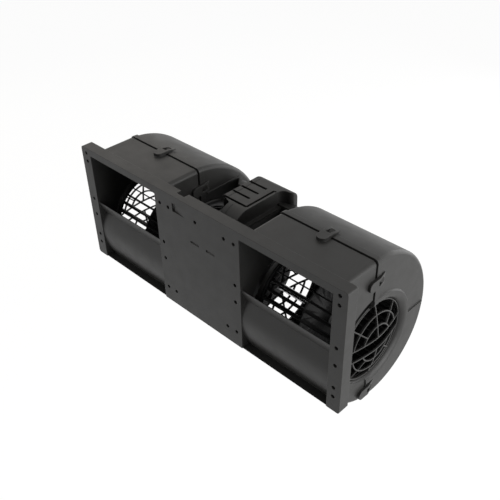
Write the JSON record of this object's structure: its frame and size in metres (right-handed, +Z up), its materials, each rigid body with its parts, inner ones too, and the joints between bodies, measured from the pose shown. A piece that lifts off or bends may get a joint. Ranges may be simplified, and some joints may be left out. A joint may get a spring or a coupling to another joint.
{
  "type": "double scroll cabin blower motor",
  "caption": "Cabin air blower: one motor between two scroll casings on a flange, with two outlets in front and a guarded inlet on both sides of each scroll.",
  "frame": {"origin": "centre of the mounting flange's front face", "axes": "+X along the flange, +Y back from the flange into the blower, +Z up the flange"},
  "size_m": [0.4, 0.1616, 0.1979],
  "materials": {
    "housing_plastic": "fine-grained satin black",
    "guard_plastic": "satin black",
    "wheel_plastic": "matt black",
    "bridge_plastic": "satin black",
    "can_steel": "black lacquered drawn steel",
    "ferrite": "matt ground ferrite",
    "core_steel": "stacked laminations",
    "shaft_steel": "ground",
    "copper": "enamelled copper",
    "carbon": "matt carbon",
    "holder_plastic": "matt",
    "rubber": "matt rubber",
    "screw_steel": "zinc plated",
    "blade_brass": "tinned brass"
  },
  "bodies": {
    "housing": {"front_housing": "housing_plastic", "rear_shell_left": "housing_plastic", "rear_shell_right": "housing_plastic", "outer_guard_left": "guard_plastic", "outer_guard_right": "guard_plastic", "inner_guard_left": "guard_plastic", "inner_guard_right": "guard_plastic", "isolation_ring_left": "rubber", "isolation_ring_right": "rubber", "bearing_left": "shaft_steel", "bearing_right": "shaft_steel", "motor_can": "can_steel", "motor_end_cap": "can_steel", "motor_magnets": "ferrite", "brush_holder": "holder_plastic", "brushes": "carbon", "motor_bridge": "bridge_plastic", "motor_clamp": "bridge_plastic", "clamp_screws": "screw_steel", "motor_cover": "housing_plastic", "cover_screws": "screw_steel", "terminal_block": "bridge_plastic", "terminal_blades": "blade_brass"},
    "rotor": {"motor_shaft": "shaft_steel", "armature_core": "core_steel", "armature_windings": "copper", "commutator": "copper", "fan_wheel_left": "wheel_plastic", "fan_wheel_right": "wheel_plastic", "wheel_clip_left": "shaft_steel", "wheel_clip_right": "shaft_steel"}
  },
  "joints": [
    {"name": "rotor_spin", "type": "hinge", "parent": "housing", "child": "rotor", "pos_m": [0, 0.0708, -0.0358], "axis": [1, 0, 0], "continuous": true}
  ]
}
